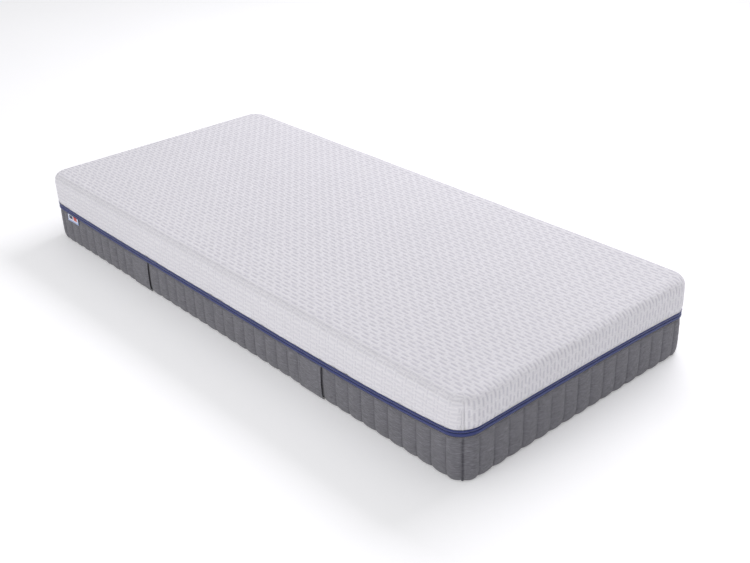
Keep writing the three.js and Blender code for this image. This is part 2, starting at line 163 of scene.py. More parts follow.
def at_corner(shape, corner):
    """A shape drawn for a front corner's middle facing -Y, moved to a corner of the mattress."""
    points, faces = shape
    _, sign_x, sign_y, turn = corner
    centre = np.array([sign_x * CORNER_X, sign_y * CORNER_Y, 0])
    return turned(points, turn) + centre, faces


def grid_faces(rows, columns, closed=False):
    """Quads over a grid of points numbered row by row. closed joins each row's end to its start."""
    across = np.arange(columns if closed else columns - 1)
    down = np.arange(rows - 1)[:, None]
    near = down * columns + across
    far = down * columns + (across + 1) % columns
    return np.stack([near, far, far + columns, near + columns], -1).reshape(-1, 4)


def merged(parts):
    """One array of points and one of faces, from a list of (points, faces)."""
    starts = np.cumsum([0] + [len(points) for points, _ in parts[:-1]])
    points = np.concatenate([points for points, _ in parts])
    faces = np.concatenate([faces + start for (_, faces), start in zip(parts, starts)])
    return points, faces


def turned(points, angle):
    """Points turned about the upright axis."""
    cos, sin = math.cos(angle), math.sin(angle)
    x, y = points[..., 0], points[..., 1]
    return np.stack([x * cos - y * sin, x * sin + y * cos, points[..., 2]], -1)


def side_points(side, s, inset, z):
    """Points of a side at distances s from its middle, drawn in by inset, at heights z."""
    s, inset, z = np.broadcast_arrays(s, inset, z)
    half = side["straight"] / 2
    round_by = np.clip((np.abs(s) - half) / CORNER_RADIUS, 0, math.pi / 4)
    radius = CORNER_RADIUS - inset
    x = np.sign(s) * (np.minimum(np.abs(s), half) + radius * np.sin(round_by))
    y = -(side["distance"] - CORNER_RADIUS + radius * np.cos(round_by))
    return turned(np.stack([x, y, z], -1), side["turn"])


def facing(side, s, inset, z):
    """Points of a side, and the way it faces at each of them."""
    at = side_points(side, s, inset, z)
    return at, at - side_points(side, s, inset + 1e-3, z)


def smooth_step(low, high, value):
    share = np.clip((value - low) / (high - low), 0, 1)
    return share * share * (3 - 2 * share)


def tuck(z):
    """How far the lower cover is drawn in at height z."""
    up = np.clip(1 - np.asarray(z) / TUCK_HEIGHT, 0, 1)
    return TUCK_DEPTH * (1 - np.sqrt(1 - up**2))


def settled(points):
    """Points after the cover has settled: the zip line waves up and down along the front and foot sides."""
    x, y, z = points[..., 0] / HALF_LENGTH, points[..., 1] / HALF_WIDTH, points[..., 2]
    on_front = smooth_step(WAVE_FROM, 1, -y)
    on_foot = smooth_step(WAVE_FROM, 1, x)
    front = -FRONT_SAG + np.where(x > 0, FRONT_SAG + CORNER_LIFT, FRONT_SAG) * x**4
    foot = CORNER_LIFT * (1 - ((np.clip(y, -1, 1) + 1) / 2) ** 4)
    lift = on_front * front + (1 - on_front) * on_foot * foot
    share = np.where(z < ZIP_MIDDLE, z / ZIP_MIDDLE, (HEIGHT - z) / (HEIGHT - ZIP_MIDDLE))
    moved = points.copy()
    moved[..., 2] = z + lift * np.clip(share, 0, 1)
    return moved


def waves(values, lengths, seed):
    """A smooth irregular wobble between about -1 and 1, made of sine waves of these lengths."""
    phases = np.random.default_rng(seed).uniform(0, 2 * math.pi, len(lengths))
    total = sum(np.sin(2 * math.pi * values / length + phase) for length, phase in zip(lengths, phases))
    return total / len(lengths)


STITCH_SECTIONS = (
    (-0.5, 0.12, -0.3), (-0.28, 0.85, 0.15), (0.0, 1.0, 0.3), (0.28, 0.85, 0.15), (0.5, 0.12, -0.3),
)  # share of the length, plumpness, rise
STITCH_SIDES = 4
STITCH_SLENDERNESS = 0.6


def stitches(places, along, out, length=STITCH_LENGTH, thickness=STITCH_THICKNESS):
    """A row of stitches as (points, faces): a plump lozenge at each place, lying along and raised out."""
    places, along, out = (np.asarray(value, float).reshape(-1, 3) for value in (places, along, out))
    along = along / np.linalg.norm(along, axis=1, keepdims=True)
    out = out / np.linalg.norm(out, axis=1, keepdims=True)
    side = np.cross(along, out)
    rings = []
    for share, plump, rise in STITCH_SECTIONS:
        wide = thickness * plump * STITCH_SLENDERNESS
        for corner in range(STITCH_SIDES):
            angle = math.pi / 4 + corner * math.pi / 2
            rings.append(
                places + along * (share * length) + out * (rise * thickness + wide * math.sin(angle))
                + side * (wide * math.cos(angle))
            )
    points = np.stack(rings, 1)
    per = len(rings)
    body = grid_faces(len(STITCH_SECTIONS), STITCH_SIDES, closed=True)
    ends = [[3, 2, 1, 0], [per - 4, per - 3, per - 2, per - 1]]
    one = np.concatenate([body, ends])
    faces = (np.arange(len(points))[:, None, None] * per + one[None]).reshape(-1, 4)
    return points.reshape(-1, 3), faces


def stitch_hoop(inset, z, pitch):
    """Stitches all the way round the mattress at one height."""
    rows = []
    for side in SIDES:
        s = np.arange(-side["whole"] / 2 + pitch / 2, side["whole"] / 2, pitch)
        places, out = facing(side, s, inset, z)
        rows.append(stitches(places, side_points(side, s + 1e-4, inset, z) - places, out))
    return merged(rows)


UPRIGHT_STITCH = (0.0034, 0.0008)  # length and thickness


def upright_stitches(side, s, heights, inset_at, step=1e-4, lean=0.0):
    """A line of stitches up a side at s. inset_at gives the depth at a height, and lean sinks their ends."""
    s = np.full_like(heights, s)
    at, out = facing(side, s, inset_at(heights), heights)
    along = side_points(side, s, inset_at(heights + step) + lean, heights + step) - at
    return stitches(at, along, out, *UPRIGHT_STITCH)


def two_faced(front, rear):
    """A closed shell from two grids of points that lie face to face, as (points, faces)."""
    rows, columns = front.shape[:2]
    count = rows * columns
    ring = np.concatenate([
        np.arange(columns),
        np.arange(1, rows) * columns + columns - 1,
        (rows - 1) * columns + np.arange(columns - 2, -1, -1),
        np.arange(rows - 2, 0, -1) * columns,
    ])
    ahead = np.roll(ring, -1)
    rim = np.stack([ring, ahead, ahead + count, ring + count], -1)
    grid = grid_faces(rows, columns)
    faces = np.concatenate([grid, grid[:, ::-1] + count, rim[:, ::-1]])
    return np.concatenate([front.reshape(-1, 3), rear.reshape(-1, 3)]), faces


def soft_copy(node, name, material, bevel, segments=3, body="mattress_body", settle=False):
    """A new piece with a CAD node's shape and softened edges."""
    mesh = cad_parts[node].data.copy()
    made = piece(name, mesh, material, [node], body, settle=settle)
    weld = made.modifiers.new("weld", "WELD")
    weld.merge_threshold = 1e-5
    soften = made.modifiers.new("soft edges", "BEVEL")
    soften.width = bevel
    soften.segments = segments
    soften.limit_method = "ANGLE"
    soften.angle_limit = math.radians(40)
    mesh.polygons.foreach_set("use_smooth", [True] * len(mesh.polygons))
    by_angle = made.modifiers.new("weighted normals", "WEIGHTED_NORMAL")
    by_angle.keep_sharp = False


# ---------------------------------------------------------------- effects that materials share
def group_of(name, inputs, outputs):
    """An empty node group with these sockets, what it is given, and the sockets for what it has made."""
    group = bpy.data.node_groups.new(name, "ShaderNodeTree")
    for label, kind, value in inputs:
        socket = group.interface.new_socket(label, in_out="INPUT", socket_type=kind)
        socket.default_value = value
    for label, kind in outputs:
        group.interface.new_socket(label, in_out="OUTPUT", socket_type=kind)
    return group, group.nodes.new("NodeGroupInput").outputs, group.nodes.new("NodeGroupOutput").inputs


def node(tree, kind, values=(), **settings):
    """A node with its settings, and values or links for its inputs by name or number."""
    made = tree.nodes.new(kind)
    for key, value in settings.items():
        setattr(made, key, value)
    for key, value in dict(values).items():
        if isinstance(value, bpy.types.NodeSocket):
            tree.links.new(value, made.inputs[key])
        else:
            made.inputs[key].default_value = value
    return made


def maths(tree, operation, first, second=0.0, third=0.0):
    return node(tree, "ShaderNodeMath", {0: first, 1: second, 2: third}, operation=operation).outputs[0]


def remap(tree, value, start=0.0, end=1.0, low=0.0, high=1.0):
    """A value between start and end, carried over to between low and high."""
    return node(tree, "ShaderNodeMapRange", {0: value, 1: start, 2: end, 3: low, 4: high}).outputs[0]


def mixed(tree, share, first, second):
    """A mix of two colours."""
    made = node(tree, "ShaderNodeMix", {"Factor": share}, data_type="RGBA")
    for socket, value in ((made.inputs[6], first), (made.inputs[7], second)):
        if isinstance(value, bpy.types.NodeSocket):
            tree.links.new(value, socket)
        else:
            socket.default_value = value
    return made.outputs[2]


def shaded(tree, colour, amount):
    """A colour made lighter or darker by an amount round 1."""
    first = colour if isinstance(colour, bpy.types.NodeSocket) else colour[:3]
    return node(tree, "ShaderNodeVectorMath", {0: first, 3: amount}, operation="SCALE").outputs[0]


def here(tree):
    """The place on the object."""
    return node(tree, "ShaderNodeTexCoord").outputs["Object"]


def object_place(tree, scale=(1, 1, 1), turn=(0, 0, 0)):
    values = {"Vector": here(tree), "Scale": scale, "Rotation": turn}
    return node(tree, "ShaderNodeMapping", values).outputs[0]


YARN_FINENESS = (75.0, 75.0, 640.0)  # flecks per metre, along the rows and up across them


def yarn_fleck_group():
    """Flecks of lighter and darker yarn, longer along the rows than across them."""
    group, given, made = group_of(
        "yarn_flecks",
        [
            ("Colour", "NodeSocketColor", (0.5, 0.5, 0.5, 1)),
            ("Light yarn", "NodeSocketColor", (0.8, 0.8, 0.8, 1)),
            ("Dark yarn", "NodeSocketColor", (0.1, 0.1, 0.1, 1)),
            ("Amount", "NodeSocketFloat", 0.3),
        ],
        [("Colour", "NodeSocketColor")],
    )
    spread = node(group, "ShaderNodeVectorMath", {0: here(group), 1: YARN_FINENESS}, operation="MULTIPLY")
    values = {"Vector": spread.outputs[0], "Scale": 1.0, "Detail": 2.0}
    fine = node(group, "ShaderNodeTexNoise", values).outputs[0]
    colour = given["Colour"]
    for yarn, start, end in (("Light yarn", 0.55, 0.68), ("Dark yarn", 0.45, 0.32)):
        fleck = maths(group, "MULTIPLY", remap(group, fine, start, end), given["Amount"])
        colour = mixed(group, fleck, colour, given[yarn])
    group.links.new(colour, made["Colour"])
    return group


def knit_loop_group():
    """Height of small knitted loops in rows, from 0 to 1."""
    group, given, made = group_of(
        "knit_loops",
        [("Loop width", "NodeSocketFloat", 0.0014), ("Loop height", "NodeSocketFloat", 0.001)],
        [("Height", "NodeSocketFloat")],
    )
    place = node(group, "ShaderNodeSeparateXYZ", {0: here(group)})
    per_width = maths(group, "DIVIDE", 2 * math.pi, given["Loop width"])
    per_height = maths(group, "DIVIDE", 2 * math.pi, given["Loop height"])
    sideways = maths(group, "ADD", place.outputs[0], place.outputs[1])
    upward = maths(group, "SUBTRACT", place.outputs[2], place.outputs[1])
    legs = maths(group, "SINE", maths(group, "MULTIPLY", sideways, per_width))
    lean = maths(group, "MULTIPLY", legs, 0.9)
    rows = maths(group, "SINE", maths(group, "ADD", maths(group, "MULTIPLY", upward, per_height), lean))
    total = maths(group, "ADD", maths(group, "ABSOLUTE", legs), rows)
    group.links.new(remap(group, total, start=-1.0, end=2.0), made[0])
    return group


def slow_drift_group():
    """A colour that drifts slightly lighter and darker over a hand's breadth."""
    group, given, made = group_of(
        "slow_drift",
        [
            ("Colour", "NodeSocketColor", (0.5, 0.5, 0.5, 1)),
            ("Amount", "NodeSocketFloat", 0.1),
            ("Scale", "NodeSocketFloat", 5.0),
        ],
        [("Colour", "NodeSocketColor")],
    )
    cloud = node(group, "ShaderNodeTexNoise", {"Vector": here(group), "Scale": given["Scale"], "Detail": 3.0})
    centred = maths(group, "SUBTRACT", cloud.outputs[0], 0.5)
    gain = maths(group, "MULTIPLY_ADD", centred, given["Amount"], 1.0)
    group.links.new(shaded(group, given["Colour"], gain), made["Colour"])
    return group


def foam_pore_group():
    """The open pores of a cut foam face: a mask from 0 in a pore to 1 on a wall."""
    group, given, made = group_of(
        "foam_pores",
        [("Pores per metre", "NodeSocketFloat", 700.0)],
        [("Wall", "NodeSocketFloat")],
    )
    values = {"Vector": here(group), "Scale": given["Pores per metre"]}
    cells = node(group, "ShaderNodeTexVoronoi", values, feature="F1")
    group.links.new(remap(group, cells.outputs["Distance"], start=0.12, end=0.5), made[0])
    return group


def relief_knit_group():
    """The relief knit's dashes, from a place given as distance along and across the rows."""
    group, given, made = group_of(
        "relief_knit",
        [("Place", "NodeSocketVector", (0.0, 0.0, 0.0))],
        [("Groove", "NodeSocketFloat"), ("Step", "NodeSocketFloat")],
    )
    place = node(group, "ShaderNodeSeparateXYZ", {0: given["Place"]})
    u, v = place.outputs[0], place.outputs[1]
    row = maths(group, "ROUND", maths(group, "DIVIDE", v, KNIT_ROW))
    from_row = maths(group, "MULTIPLY_ADD", row, -KNIT_ROW, v)
    odd = maths(group, "FLOORED_MODULO", row, 2.0)
    shifted = maths(group, "MULTIPLY_ADD", odd, -KNIT_SHIFT, maths(group, "MULTIPLY_ADD", v, -KNIT_TILT, u))
    repeat = maths(group, "MULTIPLY_ADD", shifted, 1 / KNIT_REPEAT, 0.5)
    in_repeat = maths(group, "FLOORED_MODULO", repeat, 1.0)
    along = maths(group, "ABSOLUTE", maths(group, "SUBTRACT", in_repeat, 0.5))
    half_dash = KNIT_DASH / KNIT_REPEAT / 2
    dash = node(
        group, "ShaderNodeMapRange", {0: along, 1: half_dash + KNIT_DASH_END, 2: half_dash - KNIT_DASH_END},
        interpolation_type="SMOOTHSTEP",
    ).outputs[0]

    def bell(value, width):
        share = maths(group, "DIVIDE", value, width)
        squared = maths(group, "MULTIPLY", share, share)
        return maths(group, "EXPONENT", maths(group, "MULTIPLY", squared, -0.5))

    groove = maths(group, "MULTIPLY", bell(from_row, KNIT_GROOVE_WIDTH), dash)
    step = bell(maths(group, "SUBTRACT", along, 0.5), KNIT_STEP_WIDTH)
    group.links.new(groove, made["Groove"])
    group.links.new(step, made["Step"])
    return group


EFFECTS = {
    "relief": relief_knit_group(),
    "flecks": yarn_fleck_group(),
    "loops": knit_loop_group(),
    "drift": slow_drift_group(),
    "pores": foam_pore_group(),
}


def effect(tree, name, values):
    """The outputs of a shared effect, with values or links for its inputs."""
    return node(tree, "ShaderNodeGroup", values, node_tree=EFFECTS[name]).outputs


def rgb(red, green, blue):
    """A colour given on the 0 to 255 scale of a screen, as linear light."""
    def linear(value):
        share = value / 255
        return share / 12.92 if share <= 0.04045 else ((share + 0.055) / 1.055) ** 2.4
    return (linear(red), linear(green), linear(blue), 1.0)


def new_material(name, roughness, sheen=0.0, metallic=0.0):
    """A material, its node tree and its Principled shader."""
    made = bpy.data.materials.new(name)
    made.use_nodes = True
    shader = made.node_tree.nodes["Principled BSDF"]
    shader.inputs["Roughness"].default_value = roughness
    shader.inputs["Metallic"].default_value = metallic
    shader.inputs["Sheen Weight"].default_value = sheen
    shader.inputs["Sheen Roughness"].default_value = 0.5
    shader.inputs["Specular IOR Level"].default_value = 0.3
    return made, made.node_tree, shader


def raise_by(tree, shader, height, distance, strength=1.0):
    """Fine relief from a height between 0 and 1."""
    bump = node(tree, "ShaderNodeBump", {"Height": height, "Distance": distance, "Strength": strength})
    tree.links.new(bump.outputs[0], shader.inputs["Normal"])


def paint(tree, shader, colour):
    tree.links.new(colour, shader.inputs["Base Color"])


def knit_material(name, colour, light, dark, flecks, loop, drift, sheen):
    """Knitted cloth: flecked yarn, small loops and a slow drift of tone."""
    made, tree, shader = new_material(name, 0.85, sheen)
    tone = effect(tree, "drift", {"Colour": colour, "Amount": drift, "Scale": 6.0})
    yarn = effect(tree, "flecks", {
        "Colour": tone["Colour"], "Light yarn": light, "Dark yarn": dark, "Amount": flecks,
    })
    loops = effect(tree, "loops", {"Loop width": loop, "Loop height": loop * 0.7})["Height"]
    # Painted shade: the colour is darker in the low parts of the knitted loops.
    shade = remap(tree, loops, low=0.86, high=1.05)
    paint(tree, shader, shaded(tree, yarn["Colour"], shade))
    raise_by(tree, shader, loops, loop * 0.25, 0.6)
    return made


def cover_material(name, colour, groove_shade_colour):
    """The upper cover's white relief knit, with painted shade that greys its grooves and the steps between
    its dashes.
    """
    made, tree, shader = new_material(name, 0.8, 0.15)
    place = node(tree, "ShaderNodeAttribute", attribute_name="knit_place").outputs["Vector"]
    relief = effect(tree, "relief", {"Place": place})
    tone = effect(tree, "drift", {"Colour": colour, "Amount": 0.05, "Scale": 4.0})["Colour"]
    yarn = effect(tree, "flecks", {
        "Colour": tone, "Light yarn": rgb(244, 244, 250), "Dark yarn": rgb(196, 195, 206), "Amount": 0.25,
    })["Colour"]
    on_side = node(tree, "ShaderNodeSeparateXYZ", {0: place}).outputs[2]
    # Painted shade: the grooves and the steps between dashes are mixed towards a greyer colour. Down the
    # sides the steps take more of it and the grooves less.
    step_shade_share = maths(tree, "MULTIPLY_ADD", on_side, 0.16, 0.18)
    groove_shade_share = maths(tree, "MULTIPLY_ADD", on_side, -0.2, 0.5)
    step_shaded = mixed(tree, maths(tree, "MULTIPLY", relief["Step"], step_shade_share), yarn, groove_shade_colour)
    groove_shaded = mixed(tree, maths(tree, "MULTIPLY", relief["Groove"], groove_shade_share), step_shaded, groove_shade_colour)
    loops = effect(tree, "loops", {"Loop width": 0.0016, "Loop height": 0.0011})["Height"]
    # Painted shade: the colour is darker in the low parts of the knitted loops.
    shade = remap(tree, loops, low=0.93, high=1.03)
    paint(tree, shader, shaded(tree, groove_shaded, shade))
    raised = maths(tree, "MULTIPLY_ADD", relief["Groove"], -4.0, loops)
    raise_by(tree, shader, raised, 0.0004, 0.6)
    return made


def thread_material(name, colour):
    """Twisted sewing thread."""
    made, tree, shader = new_material(name, 0.6, 0.1)
    twist = node(
        tree, "ShaderNodeTexWave", {"Vector": object_place(tree, turn=(0.5, 0.4, 0.6)), "Scale": 700.0},
    ).outputs["Fac"]
    # Painted shade: the colour is darker in the grooves of the twist.
    shade = remap(tree, twist, low=0.8, high=1.1)
    paint(tree, shader, shaded(tree, colour, shade))
    raise_by(tree, shader, twist, 0.0002)
    return made


def woven_material(name, colour, cloth_pitch, contrast, sheen, roughness):
    """Woven tape or cloth: two sets of fine threads that pass over each other."""
    made, tree, shader = new_material(name, roughness, sheen)
    place = node(tree, "ShaderNodeSeparateXYZ", {0: here(tree)})
    turn_per_metre = 2 * math.pi / cloth_pitch
    level = maths(tree, "ADD", place.outputs[0], place.outputs[1])
    warp = maths(tree, "SINE", maths(tree, "MULTIPLY", level, turn_per_metre))
    weft = maths(tree, "SINE", maths(tree, "MULTIPLY", place.outputs[2], turn_per_metre))
    crossed = maths(tree, "MULTIPLY", warp, weft)
    crossing = remap(tree, crossed, start=-1.0, end=1.0)
    tone = effect(tree, "drift", {"Colour": colour, "Amount": 0.15, "Scale": 14.0})["Colour"]
    # Painted shade: the colour is darker where one set of threads dips under the other.
    shade = remap(tree, crossing, low=1 - contrast, high=1 + contrast * 0.4)
    paint(tree, shader, shaded(tree, tone, shade))
    raise_by(tree, shader, crossing, cloth_pitch * 0.25, 0.7)
    return made


def foam_material(name, colour, pores):
    """Cut foam, with open pores and slight yellowing in places."""
    made, tree, shader = new_material(name, 0.95, 0.05)
    wall = effect(tree, "pores", {"Pores per metre": pores})["Wall"]
    tone = effect(tree, "drift", {"Colour": colour, "Amount": 0.1, "Scale": 4.0})["Colour"]
    # Painted shade: the pores are darker than the walls between them.
    pore_shade = shaded(tree, tone, 0.72)
    paint(tree, shader, mixed(tree, wall, pore_shade, tone))
    raise_by(tree, shader, wall, 0.0006, 0.8)
    return made


def fleece_material(name, colour):
    """Soft unwoven fibre."""
    made, tree, shader = new_material(name, 0.95, 0.3)
    fibres = node(
        tree, "ShaderNodeTexNoise",
        {"Vector": object_place(tree, (220, 220, 900)), "Scale": 1.0, "Detail": 4.0, "Distortion": 1.5},
    ).outputs[0]
    # Painted shade: the colour is darker in the hollows between the fibres.
    shade = remap(tree, fibres, start=0.3, end=0.7, low=0.85, high=1.04)
    paint(tree, shader, shaded(tree, colour, shade))
    raise_by(tree, shader, fibres, 0.0012)
    return made


def metal_material(name):
    """Cast zinc with a dark finish, rubbed lighter where fingers hold it."""
    made, tree, shader = new_material(name, 0.35, 0.0, 1.0)
    rub = node(tree, "ShaderNodeTexNoise", {"Vector": here(tree), "Scale": 160.0, "Detail": 5.0}).outputs[0]
    share = remap(tree, rub, start=0.4, end=0.65)
    paint(tree, shader, mixed(tree, share, rgb(92, 94, 102), rgb(150, 152, 160)))
    gloss = remap(tree, rub, low=0.5, high=0.28)
    tree.links.new(gloss, shader.inputs["Roughness"])
    raise_by(tree, shader, rub, 0.0002)
    return made


def label_material(name):
    """A woven label: white, with a pale blue edge and two plain blocks of colour."""
    made, tree, shader = new_material(name, 0.6, 0.1)
    low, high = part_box("side_label")
    place = node(tree, "ShaderNodeSeparateXYZ", {0: here(tree)})
    x = remap(tree, place.outputs[0], start=low.x, end=high.x)
    z = remap(tree, place.outputs[2], start=low.z, end=high.z)

    def within(value, start, end):
        past = maths(tree, "GREATER_THAN", value, start)
        return maths(tree, "MULTIPLY", past, maths(tree, "LESS_THAN", value, end))

    colour = rgb(176, 190, 226)
    for start_x, end_x, start_z, end_z, field in (
        (0.05, 0.95, 0.12, 0.88, rgb(236, 238, 246)),
        (0.12, 0.46, 0.28, 0.76, rgb(64, 68, 92)),
        (0.54, 0.88, 0.24, 0.80, rgb(208, 88, 84)),
    ):
        inside = maths(tree, "MULTIPLY", within(x, start_x, end_x), within(z, start_z, end_z))
        colour = mixed(tree, inside, colour, field)
    threads = node(tree, "ShaderNodeTexWave", {"Vector": object_place(tree), "Scale": 600.0}).outputs["Fac"]
    # Painted shade: the colour is darker between the woven threads.
    shade = remap(tree, threads, low=0.93, high=1.03)
    paint(tree, shader, shaded(tree, colour, shade))
    raise_by(tree, shader, threads, 0.0002, 0.5)
    return made


WHITE = rgb(236, 234, 238)
GREY = rgb(114, 113, 119)
MATERIALS = {
    # The cover knit's second colour is the painted shade in its grooves and steps.
    "cover_knit": cover_material("cover_knit", WHITE, rgb(186, 183, 196)),
    "cover_seam": knit_material(
        "cover_seam", WHITE, rgb(250, 250, 255), rgb(196, 196, 206), 0.3, 0.0016, 0.04, 0.2,
    ),
    "border_knit": knit_material(
        "border_knit", GREY, rgb(150, 149, 156), rgb(74, 73, 80), 0.5, 0.0018, 0.08, 0.15,
    ),
    "handle_cloth": knit_material(
        "handle_cloth", rgb(116, 115, 121), rgb(152, 151, 158), rgb(76, 75, 82), 0.5, 0.0018, 0.08, 0.15,
    ),
    "border_welt": knit_material(
        "border_welt", rgb(100, 99, 106), rgb(150, 150, 156), rgb(50, 50, 56), 0.5, 0.0018, 0.08, 0.1,
    ),
    "base_cloth": woven_material("base_cloth", rgb(104, 103, 110), 0.0016, 0.3, 0.2, 0.7),
    "zip_tape": woven_material("zip_tape", rgb(50, 61, 120), 0.0011, 0.25, 0.25, 0.55),
    "zip_coil": thread_material("zip_coil", rgb(46, 55, 104)),
    "zip_metal": metal_material("zip_metal"),
    "lining_fleece": fleece_material("lining_fleece", rgb(240, 239, 236)),
    "wadding": fleece_material("wadding", rgb(228, 226, 220)),
    "memory_foam": foam_material("memory_foam", rgb(243, 238, 222), 900.0),
    "transition_foam": foam_material("transition_foam", rgb(206, 220, 236), 650.0),
    "support_foam": foam_material("support_foam", rgb(232, 233, 237), 480.0),
    "white_thread": thread_material("white_thread", rgb(236, 236, 242)),
    "beige_thread": thread_material("beige_thread", rgb(178, 170, 160)),
    "navy_thread": thread_material("navy_thread", rgb(66, 76, 126)),
    "grey_thread": thread_material("grey_thread", rgb(96, 95, 102)),
    "label_cloth": label_material("label_cloth"),
}


# ---------------------------------------------------------------- upper cover
def knit_relief(u, v, on_side=0.0):
    """Height of the relief knit. u runs along the rows of dashes and v across them.

    on_side is 1 where the knit is stretched flatter down the long sides.
    """
    row = np.round(v / KNIT_ROW)
    from_row = v - row * KNIT_ROW
    shifted = u - (row % 2) * KNIT_SHIFT - KNIT_TILT * v
    along = (shifted / KNIT_REPEAT + 0.5) % 1 - 0.5
    half_dash = KNIT_DASH / KNIT_REPEAT / 2
    dash = smooth_step(half_dash + KNIT_DASH_END, half_dash - KNIT_DASH_END, np.abs(along))
    groove = np.exp(-((from_row / KNIT_GROOVE_WIDTH) ** 2) / 2) * dash
    step = np.exp(-(((np.abs(along) - 0.5) / KNIT_STEP_WIDTH) ** 2) / 2)
    groove_depth = KNIT_GROOVE_DEPTH * (1 - KNIT_SIDE_SOFTENING * on_side)
    return -groove_depth * groove - KNIT_STEP_DEPTH * (1 + on_side) * step


def undulation(x, y):
    """Long shallow waves of the padding under the cover."""
    along = waves(x, (0.61, 0.37, 0.23), seed=3)
    across = waves(y + 0.3 * x, (0.33, 0.21), seed=4)
    return COVER_UNDULATION * (0.6 * along + 0.4 * across)


PLAN_CORNER_STEPS = 12
PLAN_POINTS_PER_ROW = 4
PLAN_COLUMN = 0.0082
EDGE_RINGS = 17
WALL_RINGS = 19
RIM_FADE_RINGS = 5  # rings over which the top's own waves fade out
HEM_FOLD = (
    (0.0014, 0.0016), (0.0034, 0.0021), (0.0052, 0.0012), (0.0060, -0.0040), (0.0062, -0.012),
)  # in and down from the hem


def cover_plan():
    """The grid of the flat top, as plan points. Corners are rounded squares."""
    radius = CORNER_RADIUS - TOP_EDGE_RADIUS
    rows = PLAN_POINTS_PER_ROW * round(2 * CORNER_Y / KNIT_ROW)
    columns = round(2 * CORNER_X / PLAN_COLUMN)
    edge = np.linspace(0, radius, PLAN_CORNER_STEPS + 1)[1:]

    def line(half, count):
        return np.concatenate([-half - edge[::-1], np.linspace(-half, half, count + 1), half + edge])

    u, v = np.meshgrid(line(CORNER_X, columns), line(CORNER_Y, rows), indexing="ij")
    a = np.abs(u) - CORNER_X
    b = np.abs(v) - CORNER_Y
    in_corner = (a > 0) & (b > 0)
    reach = np.where(in_corner, np.maximum(a, b), 1.0)
    steep = a >= b
    angle = np.where(steep, b / reach, 2 - a / reach) * math.pi / 4
    x = np.where(in_corner, np.sign(u) * (CORNER_X + reach * np.cos(angle)), u)
    y = np.where(in_corner, np.sign(v) * (CORNER_Y + reach * np.sin(angle)), v)
    return x, y


def plan_edge(count_x, count_y):
    """Numbers of the plan grid's edge points, in order round it."""
    number = np.arange(count_x * count_y).reshape(count_x, count_y)
    return np.concatenate([number[:-1, 0], number[-1, :-1], number[:0:-1, -1], number[0, :0:-1]])


def edge_frame(x, y):
    """The outward direction at points on the edge of the flat top."""
    middle_x = np.clip(x, -CORNER_X, CORNER_X)
    middle_y = np.clip(y, -CORNER_Y, CORNER_Y)
    out = np.stack([x - middle_x, y - middle_y], -1)
    return out / np.linalg.norm(out, axis=-1, keepdims=True)


def corner_wrap(x, y, radial):
    """Where the knit lies as it goes round the upright corners, and how much of each point is an end's.

    The knit keeps its direction up to the corner seam and turns with the other panel after it.
    """
    angle = np.arctan2(np.abs(radial[:, 1]), np.abs(radial[:, 0]))
    end_share = (angle < math.pi / 4).astype(float)
    in_corner = (angle > 1e-3) & (angle < math.pi / 2 - 1e-3)
    flat = CORNER_RADIUS - TOP_EDGE_RADIUS
    round_long = CORNER_X + CORNER_RADIUS * (math.pi / 2 - angle)
    round_end = CORNER_Y + CORNER_RADIUS * angle
    across_end = CORNER_X + flat
    across_long = CORNER_Y + flat
    u = np.sign(x) * np.where(end_share > 0, across_end, round_long)
    v = np.sign(y) * np.where(end_share > 0, round_end, across_long)
    return np.where(in_corner, u, x), np.where(in_corner, v, y), end_share


def cover_drop():
    """The cover's section from the flat top down to its hem, as (drawn in, height, arc length, facing up)."""
    steps = []
    arc = TOP_EDGE_RADIUS * math.pi / 2
    for share in np.linspace(0, 1, EDGE_RINGS)[1:]:
        angle = share * math.pi / 2
        across = math.sin(angle) ** EDGE_SQUARENESS
        down = max(0.0, math.cos(angle)) ** EDGE_SQUARENESS
        inset, z = TOP_EDGE_RADIUS * (1 - across), HEIGHT - TOP_EDGE_RADIUS * (1 - down)
        steps.append((inset, z, share * arc, math.cos(angle)))
    wall_top = HEIGHT - TOP_EDGE_RADIUS
    hem = COVER_BOTTOM + COVER_HEM_RISE
    for share in np.linspace(0, 1, WALL_RINGS)[1:]:
        z = wall_top + share * (hem - wall_top)
        steps.append((COVER_HEM_DRAWN_IN * smooth_step(0.75, 1, share), z, arc + wall_top - z, 0.0))
    return steps


def corner_pinch(x, y, z):
    """How far the corner seams draw the cover in."""
    a = np.abs(x) - CORNER_X
    b = np.abs(y) - CORNER_Y
    off = np.where((a > 0) & (b > 0), np.abs(np.arctan2(b, a) - math.pi / 4) * CORNER_RADIUS, 1.0)
    fade = smooth_step(HEIGHT - 0.018, HEIGHT - 0.045, z)
    return COVER_PINCH_DEPTH * np.exp(-((off / COVER_PINCH_WIDTH) ** 2)) * fade


def cover_channel_wave(x, y, z):
    """The quilting below shows a little in the lower edge of the cover."""
    run = np.where(np.abs(y) > CORNER_Y, x, y)
    low = smooth_step(COVER_BOTTOM + 0.03, COVER_BOTTOM, z)
    return COVER_CHANNEL_WAVE * low * np.cos(2 * math.pi * run / LONG_SIDE["pitch"])


